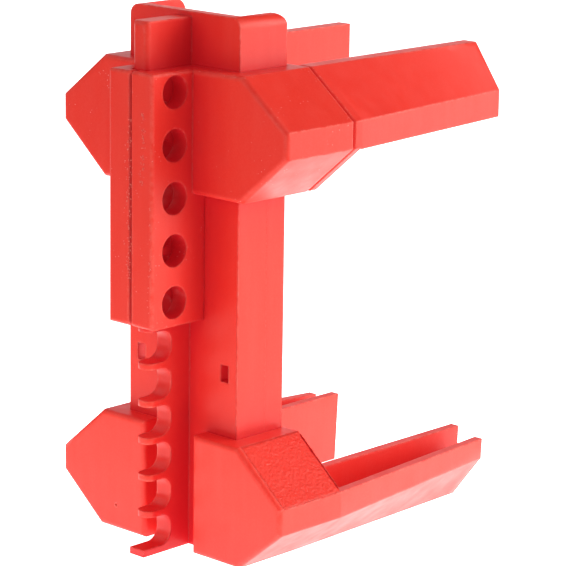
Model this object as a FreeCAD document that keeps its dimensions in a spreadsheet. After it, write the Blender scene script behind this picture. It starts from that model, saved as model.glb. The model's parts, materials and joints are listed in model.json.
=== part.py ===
"""Adjustable valve lockout hasp: a toothed column with two lower arms, and a five-hole hasp housing with two
upper arms that slides on it.

Frame: origin on the mid-plane at the foot of the column, in the middle of its front wall. +X is to the right,
+Y runs back along the arms, +Z is up along the column. Lengths are in millimetres. The pieces are drawn with
their depths counted from the hasp's front face, and their placement carries them to the origin.
"""

import FreeCAD, Part
import Sketcher
import math
import os
import re
from FreeCAD import Placement, Rotation, Vector

# name, value, what it sets
DIMENSIONS = [
    ("overall_height", 142.1, "floor to the top of the column"),
    ("column_half_width", 19.9, "mid-plane to the column's side"),
    ("column_front", 19.0, "front face of the column's wall"),
    ("origin_depth", 20.5, "front face of the hasp to the origin"),
    ("column_rear", 36.1, "rear edge of the column's side walls"),
    ("column_wall", 3.0, "wall of the column"),
    ("column_shoulder", 2.9, "rounding of the column's top outer edges"),
    ("column_rear_round", 3.4, "rounding of the side walls' top rear corners"),
    ("window_centre", 15.5, "mid-plane to the middle of a window"),
    ("window_width", 2.8, "width of a window"),
    ("window_height", 4.6, "height of a window"),
    ("window_bottom", 47.0, "floor to a window's lower edge"),
    ("rack_half_thickness", 2.6, "half of the rack's thickness"),
    ("rack_front", 4.2, "front of the rack's teeth"),
    ("rack_tooth_round", 2.2, "rounding of the teeth's front edges"),
    ("rack_head_front", 3.1, "front of the rack above its teeth"),
    ("rack_head_bottom", 121.2, "floor to the lower end of the rack's head"),
    ("rack_head_round", 1.5, "rounding of the head's front edges"),
    ("rack_height", 140.8, "floor to the top of the rack"),
    ("hook_front", 2.5, "front of the hook at the rack's foot"),
    ("notch_pitch", 10.0, "step from notch to notch"),
    ("notch_count", 12, "notches in the rack"),
    ("notch_ceiling", 10.15, "floor to the flat top of the lowest notch"),
    ("notch_floor", 1.85, "floor to the flat bottom of the lowest notch"),
    ("notch_back", 12.3, "deepest point of a notch"),
    ("notch_corner", 3.2, "rounding of a notch's upper back corner"),
    ("notch_curve", 3.5, "rounding of a notch's lower back corner"),
    ("block_height", 32.4, "height of the four end blocks"),
    ("block_edge", 25.2, "mid-plane to the edge of a block's flat top or bottom"),
    ("foot_edge", 26.0, "mid-plane to the edge of the lower pieces' flat underside"),
    ("block_vee", 40.8, "mid-plane to a block's outermost face"),
    ("arm_side_rise", 12.2, "rise of the facet on an arm's closed side"),
    ("pipe_side_rise", 13.2, "rise of the facet that faces the pipe"),
    ("shell_wall", 2.7, "wall of the blocks and arms"),
    ("edge_round", 1.4, "rounding of the blocks' front edges"),
    ("hasp_half_width", 7.95, "half of the hasp's width"),
    ("hasp_height", 66.0, "height of the hasp"),
    ("hasp_round", 0.9, "rounding of the hasp's outer edges"),
    ("hasp_hole_radius", 4.3, "radius of a padlock hole"),
    ("hasp_hole_depth", 8.0, "front face of the hasp to the holes' centres"),
    ("hasp_hole_top", 5.3, "top of the hasp to the first hole's centre"),
    ("hasp_hole_pitch", 13.6, "step from hole to hole"),
    ("hasp_hole_count", 5, "padlock holes"),
    ("hasp_front_wall", 2.8, "thickness of the hasp in front of the rack"),
    ("rack_gap", 0.3, "play beside the rack"),
    ("column_gap", 0.25, "play around the column"),
    ("hasp_gap", 0.12, "play between the hasp and the column's front wall"),
    ("upper_block_front", 14.2, "front face of the upper blocks"),
    ("upper_block_rear", 39.2, "joint between an upper block and its arm"),
    ("upper_block_bottom", 96.1, "floor to the underside of the upper blocks, as assembled"),
    ("guide_wall", 2.5, "wall between the column and the hollow of an upper block"),
    ("lip_reach", 17.2, "mid-plane to the tip of a lip behind the column"),
    ("joint_chamfer", 0.6, "chamfer on each side of the block and arm joint"),
    ("root_plate", 2.9, "thickness of the plate at an upper arm's root"),
    ("spigot_length", 8.0, "reach of an upper arm's spigot into its block"),
    ("spigot_gap", 0.1, "play around the spigot"),
    ("upper_arm_inner", 20.9, "mid-plane to the inner face of an upper arm"),
    ("upper_arm_depth", 19.6, "height of an upper arm"),
    ("upper_arm_end", 105.6, "front face of the hasp to the end of an upper arm"),
    ("lower_block_front", 13.6, "front face of the lower blocks"),
    ("lower_block_rear", 36.8, "rear face of the lower blocks"),
    ("lower_block_inner", 9.0, "mid-plane to a lower block's inner edge, beside the rack"),
    ("lower_arm_inner", 21.5, "mid-plane to the inner face of a lower arm"),
    ("lower_arm_inner_height", 19.8, "height of a lower arm's inner wall"),
    ("lower_arm_end", 103.3, "front face of the hasp to the foot of a lower arm's end"),
    ("arm_tip_vee", 33.9, "mid-plane to an upper arm's outer face at its end"),
    ("lower_tip_edge", 23.8, "mid-plane to the edge of a lower arm's flat underside at its end"),
    ("lower_tip_floor", 5.3, "floor of a lower arm's channel at its end"),
    ("lower_tip_vee", 32.9, "mid-plane to a lower arm's outer face at its end"),
    ("arm_tip_drop", 1.3, "fall of a lower arm's outer wall towards its end"),
    ("arm_end_lean", 1.0, "overhang of a lower arm's end at the height of its outer wall"),
    ("cap_thickness", 2.4, "thickness of a block cap"),
    ("cap_rim", 1.7, "rim of the block in front of its cap"),
    ("overrun", 1.0, "how far the outline of a cut runs past the piece"),
]

SHEET = "Dimensions"
RIGHT_ANGLE = math.pi / 2

doc = FreeCAD.newDocument("valve_lockout_hasp")
sheet = doc.addObject("Spreadsheet::Sheet", SHEET)
for row, (alias, number, meaning) in enumerate(DIMENSIONS, start=1):
    sheet.set(f"A{row}", meaning)
    sheet.set(f"B{row}", str(number))
    sheet.setAlias(f"B{row}", alias)
doc.recompute()


def expand(expression):
    """Puts the sheet's name before every dimension in an expression."""
    names = {alias for alias, _, _ in DIMENSIONS}
    return re.sub(r"\w+", lambda word: f"{SHEET}.{word[0]}" if word[0] in names else word[0], expression)


def evaluate(expression):
    """The number an expression has now."""
    result = sheet.evalExpression(expand(expression))
    return float(getattr(result, "Value", result))


def bind(thing, prop, expression):
    thing.setExpression(prop, expand(expression))


def new_body(label):
    body = doc.addObject("PartDesign::Body", label)
    body.Label = label
    return body


def new_sketch(body, name, plane, offset):
    """An empty sketch parallel to one of the body's origin planes, offset along that plane's normal."""
    sketch = body.newObject("Sketcher::SketchObject", name)
    origin_plane = next(item for item in body.Origin.OriginFeatures if item.Role == plane)
    sketch.AttachmentSupport = [(origin_plane, "")]
    sketch.MapMode = "FlatFace"
    bind(sketch, "AttachmentOffset.Base.z", offset)
    return sketch


def hold_point(sketch, geometry, end, across, along=None):
    """Dimensions an end (1 or 2) or the centre (3) of a piece of geometry from the sketch's origin."""
    for kind, expression, axis in (("DistanceX", across, -2), ("DistanceY", along, -1)):
        if expression is None:
            continue
        if expression == "0":
            sketch.addConstraint(Sketcher.Constraint("PointOnObject", geometry, end, axis))
            continue
        index = sketch.addConstraint(
            Sketcher.Constraint(kind, -1, 1, geometry, end, evaluate(expression))
        )
        bind(sketch, f"Constraints[{index}]", expression)


def polygon(body, name, plane, offset, corners):
    """A closed outline of straight edges; each corner is a pair of expressions."""
    sketch = new_sketch(body, name, plane, offset)
    points = [Vector(evaluate(across), evaluate(along), 0) for across, along in corners]
    for start, end in zip(points, points[1:] + points[:1]):
        sketch.addGeometry(Part.LineSegment(start, end), False)
    for index, (across, along) in enumerate(corners):
        previous = (index - 1) % len(corners)
        sketch.addConstraint(Sketcher.Constraint("Coincident", previous, 2, index, 1))
        hold_point(sketch, index, 1, across, along)
    return sketch


def rectangle(body, name, plane, offset, low, high):
    corners = [(low[0], low[1]), (high[0], low[1]), (high[0], high[1]), (low[0], high[1])]
    return polygon(body, name, plane, offset, corners)


def pad(body, sketch, length, backwards=False):
    feature = body.newObject("PartDesign::Pad", f"{sketch.Name}_pad")
    feature.Profile = sketch
    feature.Reversed = backwards
    bind(feature, "Length", length)
    doc.recompute()
    return feature


def pocket(body, sketch, length, backwards=False):
    """Cuts a sketch's outline out of the body, and makes sure that it removed something."""
    before = body.Shape.Volume
    feature = body.newObject("PartDesign::Pocket", f"{sketch.Name}_pocket")
    feature.Profile = sketch
    feature.Reversed = backwards
    bind(feature, "Length", length)
    doc.recompute()
    if not body.Shape.Volume < before:
        raise RuntimeError(f"{feature.Name} cuts nothing")
    return feature


def loft(body, first, last):
    feature = body.newObject("PartDesign::AdditiveLoft", f"{first.Name}_loft")
    feature.Profile = first
    feature.Sections = [last]
    feature.Ruled = True
    doc.recompute()
    return feature


def edges_where(shape, wanted):
    """Names of the straight edges for which wanted(low corner, high corner) holds."""
    names = []
    for index, edge in enumerate(shape.Edges, start=1):
        box = edge.BoundBox
        low = Vector(box.XMin, box.YMin, box.ZMin)
        high = Vector(box.XMax, box.YMax, box.ZMax)
        if wanted(low, high):
            names.append(f"Edge{index}")
    return names


def soften(body, kind, size, wanted):
    """Rounds or chamfers the chosen edges. kind is Fillet or Chamfer."""
    base = body.Tip
    names = edges_where(base.Shape, wanted)
    if not names:
        raise RuntimeError(f"{body.Label}: no edge to soften")
    feature = body.newObject(f"PartDesign::{kind}", f"{body.Name}_{kind}")
    feature.Base = (base, names)
    bind(feature, "Radius" if kind == "Fillet" else "Size", size)
    doc.recompute()
    return feature


def on(value, expression):
    """True where a coordinate lies on the plane that an expression gives."""
    return abs(value - evaluate(expression)) < 0.01


# Where a facet's inner face starts, for a wall of even thickness: the run of a corner's inset.
def inset_at_edge(rise, edge="block_edge"):
    return f"shell_wall * tan( atan( {rise} / ( block_vee - {edge} ) ) / 2 )"


def inset_at_vee(rise, vee="block_vee", edge="block_edge"):
    return f"shell_wall * tan( atan( ( {vee} - {edge} ) / {rise} ) / 2 )"


UPPER_TOP = "( upper_block_bottom + block_height )"
HASP_BOTTOM = f"( {UPPER_TOP} - hasp_height )"
GUIDE_OUTER = "( column_half_width + column_gap + guide_wall )"


def block_outline(inner, bottom, lower_rise, upper_rise, lower_edge="block_edge"):
    """Half of a hexagon with its point outwards, from a given inner face."""
    top = f"( {bottom} + block_height )"
    return [
        (inner, bottom),
        (lower_edge, bottom),
        ("block_vee", f"{bottom} + {lower_rise}"),
        ("block_vee", f"{top} - {upper_rise}"),
        ("block_edge", top),
        (inner, top),
    ]


def hollow_outline(inner, bottom, lower_rise, upper_rise, gap="0.0"):
    """The space inside block_outline, smaller by one shell wall and the gap all round."""
    top = f"( {bottom} + block_height )"
    return [
        (f"{inner} + {gap}", f"{bottom} + shell_wall + {gap}"),
        (f"block_edge - {inset_at_edge(lower_rise)}", f"{bottom} + shell_wall + {gap}"),
        (f"block_vee - shell_wall - {gap}", f"{bottom} + {lower_rise} + {inset_at_vee(lower_rise)}"),
        (f"block_vee - shell_wall - {gap}", f"{top} - {upper_rise} - {inset_at_vee(upper_rise)}"),
        (f"block_edge - {inset_at_edge(upper_rise)}", f"{top} - shell_wall - {gap}"),
        (f"{inner} + {gap}", f"{top} - shell_wall - {gap}"),
    ]


def channel_outline(inner, closed, edge, vee, floor, inner_edge, outer_edge, direction):
    """An arm's section. It is closed at one height, flat as far as edge, and open at the other.

    direction is + where the arm opens upwards and - where it opens downwards. floor is the channel's depth of
    material on the closed side.
    """
    facet = f"{closed} {direction} arm_side_rise"
    floor_edge = (f"{edge} - {inset_at_edge('arm_side_rise', edge)}"
                  f" + ( {floor} - shell_wall ) * ( {vee} - {edge} ) / arm_side_rise")
    return [
        (inner, closed),
        (edge, closed),
        (vee, facet),
        (vee, outer_edge),
        (f"{vee} - shell_wall", outer_edge),
        (f"{vee} - shell_wall", f"{facet} {direction} {inset_at_vee('arm_side_rise', vee, edge)}"),
        (floor_edge, f"{closed} {direction} {floor}"),
        (f"{inner} + shell_wall", f"{closed} {direction} {floor}"),
        (f"{inner} + shell_wall", inner_edge),
        (inner, inner_edge),
    ]


def quarter_cut(body, name, plane, offset, corner, inwards, radius, length, backwards=False):
    """Rounds an edge by cutting away what lies outside a quarter circle.

    corner is the edge's place in the sketch, and inwards the two signs that point into the piece.
    """
    sketch = new_sketch(body, name, plane, offset)
    held_x, held_y = (f"{place} {sign} {radius}" for place, sign in zip(corner, inwards))
    x, y, arc_x, arc_y = (evaluate(place) for place in (*corner, held_x, held_y))
    quadrant = ("--", "+-", "++", "-+").index(inwards)
    circle = Part.Circle(Vector(arc_x, arc_y, 0), Vector(0, 0, 1), evaluate(radius))
    sketch.addGeometry([
        Part.LineSegment(Vector(x, arc_y, 0), Vector(x, y, 0)),
        Part.LineSegment(Vector(x, y, 0), Vector(arc_x, y, 0)),
        Part.ArcOfCircle(circle, quadrant * RIGHT_ANGLE, (quadrant + 1) * RIGHT_ANGLE),
    ], False)
    over, beside = (1, 2) if quadrant % 2 else (2, 1)
    for one, one_end, other, other_end in ((0, 2, 1, 1), (1, 2, 2, over), (2, beside, 0, 1)):
        sketch.addConstraint(Sketcher.Constraint("Coincident", one, one_end, other, other_end))
    hold_point(sketch, 0, 2, *corner)
    hold_point(sketch, 2, 3, held_x, held_y)
    hold_point(sketch, 2, over, held_x, corner[1])
    hold_point(sketch, 2, beside, None, held_y)
    return pocket(body, sketch, length, backwards)


def notch_sketch(body):
    """The lowest notch: a flat ceiling and floor, joined by a rounded back."""
    sketch = new_sketch(body, "notch", "YZ_Plane", "-rack_half_thickness - overrun")
    front, ceiling, floor, back, corner, curve = (
        evaluate(name) for name in
        ("hook_front - overrun", "notch_ceiling", "notch_floor", "notch_back", "notch_corner", "notch_curve")
    )
    upper_centre = Vector(back - corner, ceiling - corner, 0)
    lower_centre = Vector(back - curve, floor + curve, 0)
    normal = Vector(0, 0, 1)
    outline = [
        Part.LineSegment(Vector(front, floor, 0), Vector(lower_centre.x, floor, 0)),
        Part.ArcOfCircle(Part.Circle(lower_centre, normal, curve), 3 * RIGHT_ANGLE, 4 * RIGHT_ANGLE),
        Part.LineSegment(Vector(back, lower_centre.y, 0), Vector(back, upper_centre.y, 0)),
        Part.ArcOfCircle(Part.Circle(upper_centre, normal, corner), 0, RIGHT_ANGLE),
        Part.LineSegment(Vector(upper_centre.x, ceiling, 0), Vector(front, ceiling, 0)),
        Part.LineSegment(Vector(front, ceiling, 0), Vector(front, floor, 0)),
    ]
    sketch.addGeometry(outline, False)
    for index in range(len(outline)):
        following = (index + 1) % len(outline)
        sketch.addConstraint(Sketcher.Constraint("Coincident", index, 2, following, 1))
    hold_point(sketch, 0, 1, "hook_front - overrun", "notch_floor")
    hold_point(sketch, 1, 1, "notch_back - notch_curve", "notch_floor")
    hold_point(sketch, 1, 2, None, "notch_floor + notch_curve")
    hold_point(sketch, 1, 3, "notch_back - notch_curve", "notch_floor + notch_curve")
    hold_point(sketch, 3, 1, None, "notch_ceiling - notch_corner")
    hold_point(sketch, 3, 2, "notch_back - notch_corner", "notch_ceiling")
    hold_point(sketch, 3, 3, "notch_back - notch_corner", "notch_ceiling - notch_corner")
    hold_point(sketch, 5, 1, "hook_front - overrun", "notch_ceiling")
    return sketch


def rack_block(body, name, front, bottom, top):
    """A length of the rack, from its front face into the column's wall."""
    sketch = rectangle(body, name, "YZ_Plane", "-rack_half_thickness",
                       (front, bottom), ("column_front + column_wall / 2", top))
    pad(body, sketch, "2 * rack_half_thickness")


def make_column():
    """A channel that is open to the rear, with the toothed rack on its front."""
    body = new_body("column")
    half = "column_half_width"
    inside = "column_half_width - column_wall"
    channel = polygon(body, "channel", "XY_Plane", "0.0", [
        (f"-{half}", "column_front"),
        (half, "column_front"),
        (half, "column_rear"),
        (inside, "column_rear"),
        (inside, "column_front + column_wall"),
        (f"-( {inside} )", "column_front + column_wall"),
        (f"-( {inside} )", "column_rear"),
        (f"-{half}", "column_rear"),
    ])
    pad(body, channel, "overall_height")

    depth = "column_rear - column_front"
    quarter_cut(body, "rear_corners", "YZ_Plane", f"-{half}", ("column_rear", "overall_height"), "--",
                "column_rear_round", f"2 * {half}", backwards=True)
    quarter_cut(body, "shoulder_right", "XZ_Plane", "-column_front", (half, "overall_height"), "--",
                "column_shoulder", depth)
    quarter_cut(body, "shoulder_left", "XZ_Plane", "-column_front", (f"-{half}", "overall_height"), "+-",
                "column_shoulder", depth)

    for side, sign in (("left", "-"), ("right", "")):
        low = f"{sign}window_centre - window_width / 2"
        high = f"{sign}window_centre + window_width / 2"
        window = rectangle(body, f"window_{side}", "XZ_Plane", "-column_front + overrun",
                           (low, "window_bottom"), (high, "window_bottom + window_height"))
        pocket(body, window, "column_wall + 2 * overrun")

    rack_block(body, "teeth", "rack_front", "0.0", "rack_height")
    soften(body, "Fillet", "rack_tooth_round",
           lambda low, high: on(low.y, "rack_front") and on(high.y, "rack_front") and high.z - low.z > 5)
    rack_block(body, "rack_head", "rack_head_front", "rack_head_bottom", "rack_height")
    soften(body, "Fillet", "rack_head_round",
           lambda low, high: on(low.y, "rack_head_front") and on(high.y, "rack_head_front")
           and not on(high.z, "rack_head_bottom"))
    rack_block(body, "hook", "hook_front", "0.0", "notch_floor")
    notch = pocket(body, notch_sketch(body), "2 * ( rack_half_thickness + overrun )", backwards=True)

    pattern = body.newObject("PartDesign::LinearPattern", "notches")
    pattern.Originals = [notch]
    pattern.Direction = (notch.Profile[0], ["V_Axis"])
    bind(pattern, "Length", "notch_pitch * ( notch_count - 1 )")
    bind(pattern, "Occurrences", "notch_count")
    body.Tip = pattern
    doc.recompute()
    return body


def make_upper_housing():
    """Right half of the hasp housing: half the hasp, a hollow block and the guide around the column."""
    body = new_body("upper_housing_right")
    block = polygon(body, "upper_block", "XZ_Plane", "-upper_block_front",
                    block_outline("0", "upper_block_bottom", "pipe_side_rise", "arm_side_rise"))
    pad(body, block, "upper_block_rear - upper_block_front", backwards=True)

    hasp = rectangle(body, "hasp", "XY_Plane", HASP_BOTTOM,
                     ("0", "0"), ("hasp_half_width", "column_front - hasp_gap"))
    pad(body, hasp, "hasp_height")

    guide_side = "column_half_width + column_gap"
    guide_rear = "column_rear + column_gap"
    beyond = "upper_block_rear + overrun"
    guide = polygon(body, "guide", "XY_Plane", UPPER_TOP, [
        ("0", "column_front - hasp_gap"),
        (guide_side, "column_front - hasp_gap"),
        (guide_side, guide_rear),
        ("lip_reach", guide_rear),
        ("lip_reach", beyond),
        ("0", beyond),
    ])
    pocket(body, guide, "hasp_height")

    slot = rectangle(body, "rack_slot", "XY_Plane", UPPER_TOP, ("0", "hasp_front_wall"),
                     ("rack_half_thickness + rack_gap", "column_front + overrun"))
    pocket(body, slot, "hasp_height")

    soften(body, "Fillet", "edge_round",
           lambda low, high: on(low.y, "upper_block_front") and on(high.y, "upper_block_front")
           and high.x > evaluate("hasp_half_width + overrun"))
    soften(body, "Fillet", "hasp_round",
           lambda low, high: high.y < evaluate("upper_block_front + overrun") and low.x > -0.01
           and on(low.y, "0") and (on(low.x, "hasp_half_width") or on(high.z, UPPER_TOP)
                                   or on(low.z, HASP_BOTTOM)))
    soften(body, "Chamfer", "joint_chamfer",
           lambda low, high: on(low.y, "upper_block_rear") and on(high.y, "upper_block_rear")
           and high.x > evaluate("block_edge - overrun"))

    hollow = polygon(body, "upper_hollow", "XZ_Plane", "-upper_block_rear - overrun",
                     hollow_outline(GUIDE_OUTER, "upper_block_bottom", "pipe_side_rise", "arm_side_rise"))
    pocket(body, hollow, "upper_block_rear - upper_block_front - shell_wall + overrun", backwards=True)

    holes = new_sketch(body, "padlock_holes", "YZ_Plane", "-overrun")
    for index in range(int(evaluate("hasp_hole_count"))):
        height = f"{UPPER_TOP} - hasp_hole_top - {index} * hasp_hole_pitch"
        centre = Vector(evaluate("hasp_hole_depth"), evaluate(height), 0)
        circle = Part.Circle(centre, Vector(0, 0, 1), evaluate("hasp_hole_radius"))
        sketch_circle = holes.addGeometry(circle, False)
        hold_point(holes, sketch_circle, 3, "hasp_hole_depth", height)
        radius = holes.addConstraint(Sketcher.Constraint("Radius", sketch_circle, circle.Radius))
        bind(holes, f"Constraints[{radius}]", "hasp_hole_radius")
    pocket(body, holes, "hasp_half_width + 2 * overrun", backwards=True)
    return body


def make_upper_arm():
    """Right upper arm: a channel that opens downwards, with a root plate and a spigot for the block."""
    body = new_body("upper_arm_right")
    root = polygon(body, "arm_root", "XZ_Plane", "-upper_block_rear",
                   block_outline("upper_arm_inner", "upper_block_bottom", "pipe_side_rise", "arm_side_rise"))
    pad(body, root, "root_plate", backwards=True)
    soften(body, "Chamfer", "joint_chamfer",
           lambda low, high: on(low.y, "upper_block_rear") and on(high.y, "upper_block_rear")
           and high.x > evaluate("block_edge - overrun"))

    spigot = polygon(body, "spigot", "XZ_Plane", "-upper_block_rear",
                     hollow_outline(GUIDE_OUTER, "upper_block_bottom", "pipe_side_rise",
                                    "arm_side_rise", "spigot_gap"))
    pad(body, spigot, "spigot_length")

    open_edge = f"{UPPER_TOP} - upper_arm_depth"
    sections = []
    for place, vee in (("upper_block_rear + root_plate", "block_vee"), ("upper_arm_end", "arm_tip_vee")):
        outline = channel_outline("upper_arm_inner", UPPER_TOP, "block_edge", vee, "shell_wall",
                                  open_edge, open_edge, "-")
        sections.append(polygon(body, f"upper_section_{vee}", "XZ_Plane", f"-( {place} )", outline))
    loft(body, *sections)
    return body


def make_lower_arm():
    """Right lower arm: a hollow block beside the column, and behind it a channel that opens upwards."""
    body = new_body("lower_arm_right")
    block = polygon(body, "lower_block", "XZ_Plane", "-lower_block_front",
                    block_outline("column_half_width", "0.0", "arm_side_rise", "pipe_side_rise", "foot_edge"))
    pad(body, block, "lower_block_rear - lower_block_front", backwards=True)
    cheek = rectangle(body, "cheek", "XY_Plane", "0.0", ("lower_block_inner", "lower_block_front"),
                      ("column_half_width + overrun", "column_front"))
    pad(body, cheek, "block_height")
    soften(body, "Fillet", "edge_round",
           lambda low, high: on(low.y, "lower_block_front") and on(high.y, "lower_block_front"))

    wall_top = "block_height - pipe_side_rise"
    cap_slope = "atan( pipe_side_rise / ( block_vee - block_edge ) )"
    cap_drop = f"cap_thickness / cos( {cap_slope} )"
    cap_run = f"cap_thickness / sin( {cap_slope} )"
    seat = polygon(body, "cap_seat", "XZ_Plane", "-lower_block_front - cap_rim", [
        ("block_edge", f"block_height - {cap_drop}"),
        (f"block_vee - {cap_run}", wall_top),
        ("block_vee + overrun", wall_top),
        ("block_vee + overrun", "block_height + overrun"),
        ("block_edge", "block_height + overrun"),
    ])
    pocket(body, seat, "lower_block_rear - lower_block_front + overrun")

    hollow = polygon(body, "lower_hollow", "XZ_Plane", "-lower_block_front - shell_wall", [
        (GUIDE_OUTER, "shell_wall"),
        (f"foot_edge - {inset_at_edge('arm_side_rise', 'foot_edge')}", "shell_wall"),
        ("block_vee - shell_wall", f"arm_side_rise + {inset_at_vee('arm_side_rise', edge='foot_edge')}"),
        ("block_vee - shell_wall", wall_top),
        (f"block_vee - {cap_run}", wall_top),
        ("block_edge", f"block_height - {cap_drop}"),
        (GUIDE_OUTER, f"block_height - {cap_drop}"),
    ])
    pocket(body, hollow, "lower_block_rear - lower_block_front - 2 * shell_wall")

    sections = []
    for place, edge, vee, floor, outer_top in (
        ("lower_block_rear", "foot_edge", "block_vee", "shell_wall", wall_top),
        ("lower_arm_end", "lower_tip_edge", "lower_tip_vee", "lower_tip_floor", f"{wall_top} - arm_tip_drop"),
    ):
        outline = channel_outline("lower_arm_inner", "0.0", edge, vee, floor,
                                  "lower_arm_inner_height", outer_top, "+")
        sections.append(polygon(body, f"lower_section_{vee}", "XZ_Plane", f"-( {place} )", outline))
    end = sections[-1]
    end.AttachmentOffset.Rotation = Rotation(Vector(-1, 0, 0), 1)
    bind(end, "AttachmentOffset.Rotation.Angle", f"atan( arm_end_lean / ( {wall_top} ) )")
    loft(body, *sections)
    return body


def make_block_cap():
    """Right block cap: the sloping plate that closes the top of a lower block."""
    body = new_body("lower_block_cap_right")
    cap_slope = "atan( pipe_side_rise / ( block_vee - block_edge ) )"
    cap = polygon(body, "cap", "XZ_Plane", "-lower_block_front - cap_rim", [
        ("block_edge", "block_height"),
        ("block_edge", f"block_height - cap_thickness / cos( {cap_slope} )"),
        (f"block_vee - cap_thickness / sin( {cap_slope} )", "block_height - pipe_side_rise"),
        ("block_vee", "block_height - pipe_side_rise"),
    ])
    pad(body, cap, "lower_block_rear - lower_block_front - cap_rim", backwards=True)
    return body


def mirrored(source, label):
    """The left-hand partner of a right-hand piece."""
    feature = doc.addObject("Part::Mirroring", label)
    feature.Label = label
    feature.Source = source
    feature.Base = Vector(0, 0, 0)
    feature.Normal = Vector(1, 0, 0)
    feature.Placement = Placement(Vector(0, 0, 0), Rotation())
    return feature


drawn = [make_column(), make_upper_housing(), make_upper_arm(), make_lower_arm(), make_block_cap()]
for piece in drawn:
    bind(piece, "Placement.Base.y", "-origin_depth")
pieces = drawn + [mirrored(piece, piece.Label.replace("right", "left")) for piece in drawn[1:]]
doc.recompute()

for item in doc.Objects:
    if "Invalid" in item.State or "Error" in item.State:
        raise RuntimeError(f"{item.Name} failed: {item.State}")
for piece in pieces:
    shape = piece.Shape
    if shape.isNull() or not shape.isValid() or len(shape.Solids) != 1:
        raise RuntimeError(f"{piece.Label} isn't one valid solid")

os.makedirs("parts", exist_ok=True)
for piece in pieces:
    piece.Shape.exportStep(os.path.join("parts", f"{piece.Label}.step"))
    box = piece.Shape.BoundBox
    print(f"{piece.Label}: {box.XLength:.1f} x {box.YLength:.1f} x {box.ZLength:.1f} mm, "
          f"{piece.Shape.Volume / 1000:.1f} cm3")
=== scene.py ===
"""Looks for the valve lockout hasp: moulded red plastic, its mould and weld marks, and a soft white studio.

Lengths are in metres, in the CAD's frame: +X right, +Y back along the arms, +Z up, floor at z = 0.
"""

import json
import math
import random

import bmesh
import bpy
from mathutils import Matrix, Vector, noise


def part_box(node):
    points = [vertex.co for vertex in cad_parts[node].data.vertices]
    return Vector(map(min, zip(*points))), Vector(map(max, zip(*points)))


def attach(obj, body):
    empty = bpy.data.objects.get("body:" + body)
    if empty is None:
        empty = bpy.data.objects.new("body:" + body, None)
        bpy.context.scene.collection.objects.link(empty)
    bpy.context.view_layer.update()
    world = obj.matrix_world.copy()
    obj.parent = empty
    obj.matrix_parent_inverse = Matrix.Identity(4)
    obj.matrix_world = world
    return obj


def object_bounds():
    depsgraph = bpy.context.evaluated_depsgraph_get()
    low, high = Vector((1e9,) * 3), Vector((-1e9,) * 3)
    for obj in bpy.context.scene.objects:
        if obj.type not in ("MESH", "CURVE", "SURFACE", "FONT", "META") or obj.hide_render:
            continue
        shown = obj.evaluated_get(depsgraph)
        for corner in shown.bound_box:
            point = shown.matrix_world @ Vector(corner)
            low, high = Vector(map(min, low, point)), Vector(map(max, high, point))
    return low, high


MM = 0.001
SEED = 7

# Colours, in linear red, green and blue.
RED = (0.75, 0.029, 0.012)
PALE_RED = (0.95, 0.19, 0.15)
# Painted highlight: the paler red of edges that seem to catch the light.
EDGE_HIGHLIGHT_RED = (1.0, 0.33, 0.26)
DEEP_RED = (0.52, 0.007, 0.015)
DUST_PINK = (1.0, 0.55, 0.5)
# Painted glow: the red the plastic gives off, standing in for light let in by its thin walls.
PAINTED_GLOW_RED = (1.0, 0.020, 0.035)
WARM_GLOSS = (1.0, 0.95, 0.86)

# Sizes of the CAD parts that their boxes don't tell.
HASP_FRONT_WALL = 2.8 * MM  # thickness
ARM_WALL = 2.7 * MM  # thickness
CAP_TOP_EDGE = 25.2 * MM  # how far out the cap's top edge lies
COLUMN_INSIDE = 1.5 * MM  # how far back the inside of its front wall lies

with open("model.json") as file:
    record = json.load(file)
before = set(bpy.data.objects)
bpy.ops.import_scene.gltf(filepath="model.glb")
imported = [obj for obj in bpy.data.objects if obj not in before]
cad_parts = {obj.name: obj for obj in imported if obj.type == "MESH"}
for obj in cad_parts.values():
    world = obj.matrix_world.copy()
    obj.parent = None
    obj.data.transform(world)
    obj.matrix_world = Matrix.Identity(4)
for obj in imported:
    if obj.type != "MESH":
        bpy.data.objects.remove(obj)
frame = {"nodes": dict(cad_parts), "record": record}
cad_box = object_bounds()


# ---------------------------------------------------------------- materials


class Nodes:
    """A node tree, with short calls to add nodes and join them."""

    def __init__(self, tree):
        self.tree = tree

    def feed(self, socket, value):
        if isinstance(value, bpy.types.NodeSocket):
            self.tree.links.new(value, socket)
        else:
            socket.default_value = value

    def add(self, kind, inputs=None, **settings):
        node = self.tree.nodes.new(kind)
        for name, value in settings.items():
            setattr(node, name, value)
        for name, value in (inputs or {}).items():
            self.feed(node.inputs[name], value)
        return node

    def maths(self, operation, first, second):
        return self.add("ShaderNodeMath", {0: first, 1: second}, operation=operation).outputs[0]

    def spread(self, value, start, end, to_start=0.0, to_end=1.0, **settings):
        """Maps start..end to to_start..to_end, and holds the ends."""
        inputs = {"Value": value, "From Min": start, "From Max": end, "To Min": to_start, "To Max": to_end}
        return self.add("ShaderNodeMapRange", inputs, **settings).outputs[0]


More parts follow.
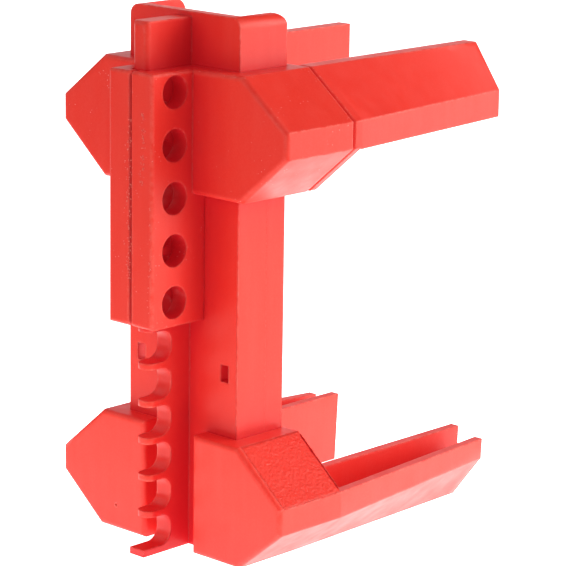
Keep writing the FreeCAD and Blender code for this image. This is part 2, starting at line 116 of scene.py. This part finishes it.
class Shader(Nodes):
    """The node tree of a new material."""

    def __init__(self, name):
        self.material = bpy.data.materials.new(name)
        self.material.use_nodes = True
        super().__init__(self.material.node_tree)
        self.surface = self.tree.nodes["Principled BSDF"]
        self.place = self.add("ShaderNodeTexCoord").outputs["Object"]

    def noise(self, size, detail=2.0, stretch=(1, 1, 1)):
        """Noise from 0 to 1 whose lumps are about size across, longer along an axis with a stretch over 1."""
        scale = tuple(1 / factor for factor in stretch)
        place = self.add("ShaderNodeMapping", {"Vector": self.place, "Scale": scale}).outputs[0]
        inputs = {"Vector": place, "Scale": 1 / size, "Detail": detail}
        return self.add("ShaderNodeTexNoise", inputs).outputs[0]

    def mix(self, amount, first, second):
        """Colour first, turning to colour second as amount goes from 0 to 1."""
        # Its colours are sockets 6 and 7, and the mixed colour comes out of socket 2.
        return self.add("ShaderNodeMix", {0: amount, 6: first, 7: second}, data_type="RGBA").outputs[2]

    def bump(self, height, depth, below=None):
        """Normals that follow height, whose full range is depth deep, on top of the normals below."""
        inputs = {"Height": height, "Distance": depth, "Strength": 1.0}
        if below is not None:
            inputs["Normal"] = below
        return self.add("ShaderNodeBump", inputs).outputs[0]


def moulded_plastic(
    name,
    grain,
    roughness,
    grain_size=0.32 * MM,
    tint=0.0,
    specks=0.0,
    edge_highlight=0.65,
    painted_corner_shade=0.95,
    painted_glow=0.11,
    sink=0.10 * MM,
):
    """Satin moulded polypropylene.

    grain: depth of its texture. tint: from deep (-1) to pale (1). specks: strength of the pale dust.
    edge_highlight: strength of the painted highlight on open edges. painted_corner_shade: strength of the
    painted shadow that darkens corners and holes.
    painted_glow: strength of a painted red glow that stands in for light let in by its thin walls. sink:
    depth of the slow waves left by cooling.
    """
    shader = Shader(name)
    red = Vector(RED).lerp(Vector(PALE_RED if tint > 0 else DEEP_RED), abs(tint))

    # Pigment: broad clouds, streaks where the melt flowed, and fine mottling.
    clouds = shader.spread(shader.noise(18 * MM, 3), 0.35, 0.65)
    flow = shader.spread(shader.noise(3 * MM, 4, stretch=(1, 1, 9)), 0.45, 0.75)
    mottle = shader.spread(shader.noise(0.5 * MM, 2), 0.4, 0.7)
    colour = shader.mix(shader.maths("MULTIPLY", clouds, 0.06), (*red, 1), (*DEEP_RED, 1))
    colour = shader.mix(shader.maths("MULTIPLY", flow, 0.05), colour, (*PALE_RED, 1))
    colour = shader.mix(shader.maths("MULTIPLY", mottle, 0.05), colour, (*PALE_RED, 1))

    # Painted highlight on the edges: open places where the rounded normal leaves the flat one are made paler,
    # as if they caught the light.
    openness = shader.add("ShaderNodeAmbientOcclusion", {"Distance": 18 * MM}, samples=2).outputs["AO"]
    rounded = shader.add("ShaderNodeBevel", {"Radius": 0.8 * MM}, samples=2).outputs[0]
    flat = shader.add("ShaderNodeNewGeometry").outputs["True Normal"]
    agreement = shader.add("ShaderNodeVectorMath", {0: rounded, 1: flat}, operation="DOT_PRODUCT")
    agreement = agreement.outputs["Value"]
    patchy = shader.spread(shader.noise(1.6 * MM, 5), 0.35, 0.6)
    edge_highlight_mask = shader.maths("MULTIPLY", shader.spread(agreement, 0.985, 0.90), patchy)
    edge_highlight_mask = shader.maths("MULTIPLY", edge_highlight_mask, shader.spread(openness, 0.5, 0.75))
    colour = shader.mix(shader.maths("MULTIPLY", edge_highlight_mask, edge_highlight), colour, (*EDGE_HIGHLIGHT_RED, 1))

    # Painted shade: corners and holes are darkened in colour, as if shade fell in them.
    colour = shader.mix(shader.spread(openness, 0.80, 0.45, 0.0, painted_corner_shade), colour, (*DEEP_RED, 1))

    if specks:
        cells = {"Vector": shader.place, "Scale": 1 / (1.1 * MM)}
        dots = shader.add("ShaderNodeTexVoronoi", cells).outputs[0]
        here = shader.spread(shader.noise(7 * MM, 2), 0.56, 0.66)
        speck = shader.maths("MULTIPLY", shader.spread(dots, 0.16, 0.10), here)
        colour = shader.mix(shader.maths("MULTIPLY", speck, specks), colour, (*DUST_PINK, 1))

    # Surface: slow sink waves, the mould's grain, and a few long scuffs.
    waves = shader.bump(shader.noise(14 * MM, 2), sink, rounded)
    scuffs = shader.spread(shader.noise(0.25 * MM, 3, stretch=(14, 14, 1)), 0.66, 0.74)
    texture = shader.bump(shader.noise(grain_size, 3), grain, waves)
    texture = shader.bump(scuffs, -0.004 * MM, texture)
    gloss = shader.spread(shader.noise(5 * MM, 4), 0.3, 0.7, roughness - 0.04, roughness + 0.07)
    gloss = shader.maths("ADD", gloss, shader.maths("MULTIPLY", edge_highlight_mask, 0.12))

    settings = {
        "Base Color": colour,
        "Roughness": gloss,
        "Normal": texture,
        "IOR": 1.40,
        "Specular Tint": (*WARM_GLOSS, 1),
        "Subsurface Weight": 0.15,
        "Subsurface Radius": (1.0, 0.2, 0.12),
        "Subsurface Scale": 2.5 * MM,
        # Painted glow: a faint red emission stands in for light let in by the thin walls, and lifts the
        # shaded parts.
        "Emission Color": (*PAINTED_GLOW_RED, 1),
        "Emission Strength": painted_glow,
    }
    for socket, value in settings.items():
        shader.feed(shader.surface.inputs[socket], value)
    return shader.material


materials = {
    "column_plastic": moulded_plastic("column_red", grain=0.012 * MM, roughness=0.34),
    "housing_plastic": moulded_plastic("housing_red", grain=0.014 * MM, roughness=0.37, specks=0.5),
    "arm_plastic": moulded_plastic(
        "arm_red", grain=0.014 * MM, roughness=0.37, tint=0.03, painted_corner_shade=0.3, painted_glow=0.15, sink=0.05 * MM
    ),
    "cap_plastic": moulded_plastic(
        "cap_red", grain=0.30 * MM, roughness=0.42, grain_size=0.8 * MM, tint=0.02, edge_highlight=0.1
    ),
}
flash_plastic = moulded_plastic("flash_red", grain=0.02 * MM, roughness=0.55, tint=1.0, painted_corner_shade=0.0, edge_highlight=0.9)
# Painted shade: the weld's deeper tint stands in for the shade in the groove between the two halves.
weld_plastic = moulded_plastic("weld_red", grain=0.02 * MM, roughness=0.65, tint=-0.35, painted_corner_shade=0.0, edge_highlight=0.0)


# ---------------------------------------------------------------- CAD nodes


# Widths of the rounding, by a word in the node's name.
SOFT_EDGES = {"column": 0.5 * MM, "housing": 0.3 * MM, "arm": 0.8 * MM, "cap": 0.2 * MM}


def soften_edges(obj, width):
    """Joins the faces along their edges, and rounds the edges that the CAD leaves sharp."""
    obj.modifiers.new("join_faces", "WELD").merge_threshold = 0.002 * MM
    modifier = obj.modifiers.new("soft_edges", "BEVEL")
    modifier.width = width
    modifier.segments = 3
    modifier.limit_method = "ANGLE"
    modifier.angle_limit = math.radians(28)
    modifier.harden_normals = True


slots = {part["node"]: part["material_slot"] for part in frame["record"]["subparts"]}
for name, node in frame["nodes"].items():
    node.data.materials.clear()
    node.data.materials.append(materials[slots[name]])
    soften_edges(node, next(size for kind, size in SOFT_EDGES.items() if kind in name))


# ---------------------------------------------------------------- moulding and welding marks


def piece(name, mesh, body, slot, material=None):
    """Makes an object of a bmesh and rides it on a body. Its material is the slot's, unless one is given."""
    data = bpy.data.meshes.new(name)
    bmesh.ops.recalc_face_normals(mesh, faces=mesh.faces)
    mesh.to_mesh(data)
    mesh.free()
    data.shade_smooth()
    data.materials.append(material or materials[slot])
    obj = bpy.data.objects.new(name, data)
    bpy.context.collection.objects.link(obj)
    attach(obj, body)


def close_rings(mesh, rings):
    """Skins a row of rings, and caps both ends."""
    for near, far in zip(rings, rings[1:]):
        for step in range(len(near)):
            mesh.faces.new((near[step - 1], near[step], far[step], far[step - 1]))
    mesh.faces.new(rings[0])
    mesh.faces.new(rings[-1])


# Outlines across a bead: place across it and height, as shares of its half-width and height.
RIDGE = ((-1, 0), (-0.77, 0.64), (0, 1), (0.77, 0.64), (1, 0))
WELD = (
    (-1, 0), (-0.75, 0.75), (-0.4, 1), (-0.12, 0.85), (0, 0.45),
    (0.12, 0.75), (0.4, 0.9), (0.75, 0.7), (1, 0),
)
SUNK = 0.04 * MM  # how deep a bead's foot lies in the surface
BEAD_END = 0.15  # how small a bead is at its ends


def bead(mesh, start, end, outwards, half_width, height, ragged, step=0.5 * MM, profile=RIDGE):
    """A low, uneven ridge from start to end, on a surface that faces outwards."""
    along = end - start
    across = along.cross(outwards).normalized()
    count = max(3, round(along.length / step))
    rings = []
    for index in range(count + 1):
        place = start + along * index / count
        wander = noise.noise(place / (1.7 * MM))
        swell = 1 + ragged * noise.noise(place / (0.6 * MM) + Vector((9, 4, 2)))
        if index in (0, count):
            swell = BEAD_END
        ring = []
        for sideways, level in profile:
            offset = across * half_width * (sideways * swell + wander * 0.35)
            rise = outwards * (level * height * swell - SUNK)
            ring.append(mesh.verts.new(place + offset + rise))
        rings.append(ring)
    close_rings(mesh, rings)


def flake(mesh, place, outwards, size, chance):
    """A crumb of flash: a small flattened lump with an uneven outline."""
    made = bmesh.ops.create_icosphere(mesh, subdivisions=1, radius=size)["verts"]
    turn = outwards.to_track_quat("Z", "Y").to_matrix() @ Matrix.Rotation(chance.uniform(0, math.tau), 3, "Z")
    longer = chance.uniform(1.0, 2.2)
    for vert in made:
        lump = 1 + 0.5 * noise.noise(vert.co / size + place / MM)
        vert.co = place + turn @ Vector((vert.co.x * longer, vert.co.y, vert.co.z * 0.45)) * lump


DISC_STEPS = 32
DISC_FOOT = 0.03 * MM  # how deep a disc's foot lies in the surface


def disc_mark(mesh, place, outwards, radius, height, dimple=0.0):
    """A round witness mark: a rim that stands height proud, with a face that lies lower by dimple."""
    turn = outwards.to_track_quat("Z", "Y").to_matrix()
    profile = (
        (1.0, -DISC_FOOT), (0.97, height * 0.8), (0.90, height), (0.84, height * 0.7),
        (0.80, height * 0.7 - dimple), (0.4, height * 0.6 - dimple),
    )
    rings = []
    for share, rise in profile:
        ring = []
        for step in range(DISC_STEPS):
            angle = math.tau * step / DISC_STEPS
            point = Vector((math.cos(angle) * radius * share, math.sin(angle) * radius * share, rise))
            ring.append(mesh.verts.new(place + turn @ point))
        rings.append(ring)
    close_rings(mesh, rings)


UP, RIGHT, BACK = Vector((0, 0, 1)), Vector((1, 0, 0)), Vector((0, 1, 0))
SIDES = {"left": -1, "right": 1}
chance = random.Random(SEED)

hasp_low, hasp_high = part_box("upper_housing_right")
hasp_front, hasp_foot, hasp_top = hasp_low.y, hasp_low.z, hasp_high.z
_, column_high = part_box("column")
wing_low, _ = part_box("lower_arm_left")
upper_arm_low, upper_arm_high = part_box("upper_arm_right")
cap_low, cap_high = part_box("lower_block_cap_right")

# The weld between the two halves of the hasp: down its front, and over its top and foot.
END_GAP = 1.0 * MM  # from the hasp's corners
WELD_HALF_WIDTH = 0.30 * MM
WELD_HEIGHT = 0.06 * MM
weld = bmesh.new()
start, end = Vector((0, hasp_front, hasp_foot + END_GAP)), Vector((0, hasp_front, hasp_top - END_GAP))
bead(weld, start, end, -BACK, WELD_HALF_WIDTH, WELD_HEIGHT, ragged=0.3, profile=WELD)
for level, outwards in ((hasp_top, UP), (hasp_foot, -UP)):
    start, end = Vector((0, hasp_front + END_GAP, level)), Vector((0, hasp_front + HASP_FRONT_WALL, level))
    bead(weld, start, end, outwards, WELD_HALF_WIDTH, WELD_HEIGHT, ragged=0.3, profile=WELD)
piece("hasp_weld", weld, "upper_body", "housing_plastic", weld_plastic)

# Crumbs of flash on the hasp's front, in upright patches along the weld and beside it.
CRUMB_PATCHES = (
    # middle and spread across, and lowest and highest above the hasp's foot, in millimetres; how many
    (-0.4, 0.7, 12.5, 54.5, 110),
    (4.5, 0.6, 37.5, 56.5, 60),
    (6.9, 0.3, 3.5, 33.5, 18),
)
crumbs = bmesh.new()
for middle, spread, lowest, highest, count in CRUMB_PATCHES:
    for _ in range(count):
        sideways, rise = chance.gauss(middle, spread) * MM, chance.uniform(lowest, highest) * MM
        place = Vector((sideways, hasp_front, hasp_foot + rise))
        flake(crumbs, place, -BACK, chance.uniform(0.09, 0.19) * MM, chance)
piece("hasp_flash_crumbs", crumbs, "upper_body", "housing_plastic", flash_plastic)

BURR_CRUMBS = 14
ARM_PINS = (0.30, 0.52, 0.74)  # places along the upper arm, as shares of its length
ARM_PINS_OUT = 24.8 * MM  # how far out they are

for side, sign in SIDES.items():
    # The cap's rear edge is rough.
    burr = bmesh.new()
    top = Vector((CAP_TOP_EDGE * sign, cap_high.y, cap_high.z))
    foot = Vector((cap_high.x * sign, cap_high.y, cap_low.z))
    slope = (foot - top).normalized()
    outwards = slope.cross(BACK) * sign
    edge = (outwards + BACK).normalized()
    start, end = top + slope * MM, foot - slope * MM
    bead(burr, start, end, edge, half_width=0.30 * MM, height=0.22 * MM, ragged=1.1, step=0.35 * MM)
    for _ in range(BURR_CRUMBS):
        place = top.lerp(foot, chance.uniform(0.05, 0.95)) - outwards * 0.2 * MM
        flake(burr, place, BACK, chance.uniform(0.15, 0.4) * MM, chance)
    piece(f"cap_burr_{side}", burr, "lower_body", "cap_plastic")

    # Marks of ejector pins on the ceiling of the upper arm's channel.
    pins = bmesh.new()
    for share in ARM_PINS:
        place_y = upper_arm_low.y + (upper_arm_high.y - upper_arm_low.y) * share
        place = Vector((ARM_PINS_OUT * sign, place_y, upper_arm_high.z - ARM_WALL))
        disc_mark(pins, place, -UP, radius=0.9 * MM, height=0.08 * MM)
    piece(f"upper_pin_marks_{side}", pins, "upper_body", "arm_plastic")

# Gate mark: the stub where the plastic entered, low on the left wing's front.
gate = bmesh.new()
GATE_OUT, GATE_HEIGHT = 19.7 * MM, 6.7 * MM
gate_place = Vector((-GATE_OUT, wing_low.y, GATE_HEIGHT))
disc_mark(gate, gate_place, -BACK, radius=0.7 * MM, height=0.05 * MM, dimple=0.04 * MM)
flake(gate, gate_place - BACK * 0.05 * MM, -BACK, 0.24 * MM, chance)
piece("gate_mark", gate, "lower_body", "arm_plastic", flash_plastic)

# Marks of ejector pins down the inside of the column's front wall, seen from behind.
COLUMN_PINS = 6  # on each side
LOWEST_PIN, PIN_PITCH, COLUMN_PINS_OUT = 12 * MM, 23.5 * MM, 9.5 * MM
pins = bmesh.new()
for row in range(COLUMN_PINS):
    for sign in SIDES.values():
        place = Vector((COLUMN_PINS_OUT * sign, COLUMN_INSIDE, LOWEST_PIN + PIN_PITCH * row))
        disc_mark(pins, place, BACK, radius=2.2 * MM, height=0.10 * MM, dimple=0.06 * MM)
piece("column_pin_marks", pins, "lower_body", "column_plastic")

# Parting line: a thread of flash down each side of the column.
PARTING_BACK, PARTING_FOOT, PARTING_TOP_GAP = 9.0 * MM, 0.6 * MM, 4.0 * MM
parting = bmesh.new()
for sign in SIDES.values():
    foot = Vector((column_high.x * sign, PARTING_BACK, PARTING_FOOT))
    top = Vector((column_high.x * sign, PARTING_BACK, column_high.z - PARTING_TOP_GAP))
    bead(parting, foot, top, RIGHT * sign, half_width=0.07 * MM, height=0.055 * MM, ragged=0.3)
piece("column_parting_line", parting, "lower_body", "column_plastic")


# ---------------------------------------------------------------- studio

FLOOR_SIZE = 4.0
bpy.ops.mesh.primitive_plane_add(size=FLOOR_SIZE, location=(0, 0, cad_box[0].z))
floor = bpy.context.object
floor.name = "floor"

# A white table that glows, as a lit photo table does: brightest around the object, then towards the back.
table = Shader("white_table")
distance = table.add("ShaderNodeVectorMath", {0: table.place}, operation="LENGTH").outputs["Value"]
backwards = table.add("ShaderNodeSeparateXYZ", {0: table.place}).outputs["Y"]
near_glow = table.spread(distance, 0.10, 0.24, 1.55, 0.0)  # fades from 0.10 to 0.24 m out
back_glow = table.spread(backwards, -0.05, 0.25, 0.0, 1.3)  # grows towards 0.25 m behind
glow = table.maths("ADD", near_glow, back_glow)
# The camera sees it at least this bright.
LEAST_GLOW = 0.85
seen = table.add("ShaderNodeLightPath").outputs["Is Camera Ray"]
glow = table.maths("MAXIMUM", glow, table.maths("MULTIPLY", seen, LEAST_GLOW))
table_settings = {
    "Base Color": (0.8, 0.8, 0.8, 1),
    "Roughness": 0.8,
    "Emission Color": (1, 1, 1, 1),
    "Emission Strength": glow,
}
for socket, value in table_settings.items():
    table.feed(table.surface.inputs[socket], value)
floor.data.materials.append(table.material)

# The room: soft light panels on a dim white tent. Azimuth runs from the front (0) to the right (90).
TENT_GLOW = 0.04
PANELS = (
    # azimuth, elevation, brightness, and how far the full core and the soft edge reach from the middle
    (0, 8, 2.11, 12, 38),  # low in front
    (135, 8, 4.4, 12, 38),  # low, behind on the right: lights the side walls
    (120, 42, 1.6, 12, 38),  # high on the right
    (300, 42, 0.8, 12, 38),  # high on the left
    (223, 12, 0.8, 10, 30),  # the pale backdrop, which the level tops mirror
)


def towards(azimuth, elevation):
    """The unit vector from the object towards a place in the room."""
    around, above = math.radians(azimuth), math.radians(elevation)
    return Vector((math.sin(around) * math.cos(above), -math.cos(around) * math.cos(above), math.sin(above)))


world = bpy.data.worlds.new("studio")
bpy.context.scene.world = world
world.use_nodes = True
sky = Nodes(world.node_tree)
direction = sky.add("ShaderNodeTexCoord").outputs["Generated"]
strength = TENT_GLOW
for azimuth, elevation, brightness, core, edge in PANELS:
    inputs = {0: direction, 1: towards(azimuth, elevation)}
    facing = sky.add("ShaderNodeVectorMath", inputs, operation="DOT_PRODUCT").outputs["Value"]
    rim, full = math.cos(math.radians(edge)), math.cos(math.radians(core))
    panel = sky.spread(facing, rim, full, 0.0, brightness, interpolation_type="SMOOTHSTEP")
    strength = sky.maths("ADD", strength, panel)
# The camera itself sees plain white past the table's edge.
seen = sky.add("ShaderNodeLightPath").outputs["Is Camera Ray"]
background = world.node_tree.nodes["Background"]
sky.feed(background.inputs["Strength"], sky.maths("MAXIMUM", strength, seen))
sky.feed(background.inputs["Color"], (1, 1, 1, 1))

bpy.context.scene.view_settings.view_transform = "Standard"


# ---------------------------------------------------------------- camera, as the photograph was taken

towards_camera = towards(43.2, 13.46)
roll = Matrix.Rotation(math.radians(0.82), 3, "Z")
aim = Vector((14.84, 20.75, 69.7)) * MM
camera_distance = 709.4  # millimetres

lens = bpy.data.cameras.new("camera")
lens.sensor_width, lens.lens = 36, 171.7
lens.clip_start, lens.clip_end = 0.01, 20
camera = bpy.data.objects.new("camera", lens)
bpy.context.collection.objects.link(camera)
camera.location = aim + towards_camera * camera_distance * MM
camera.rotation_euler = ((-towards_camera).to_track_quat("-Z", "Y").to_matrix() @ roll).to_euler()
bpy.context.scene.camera = camera
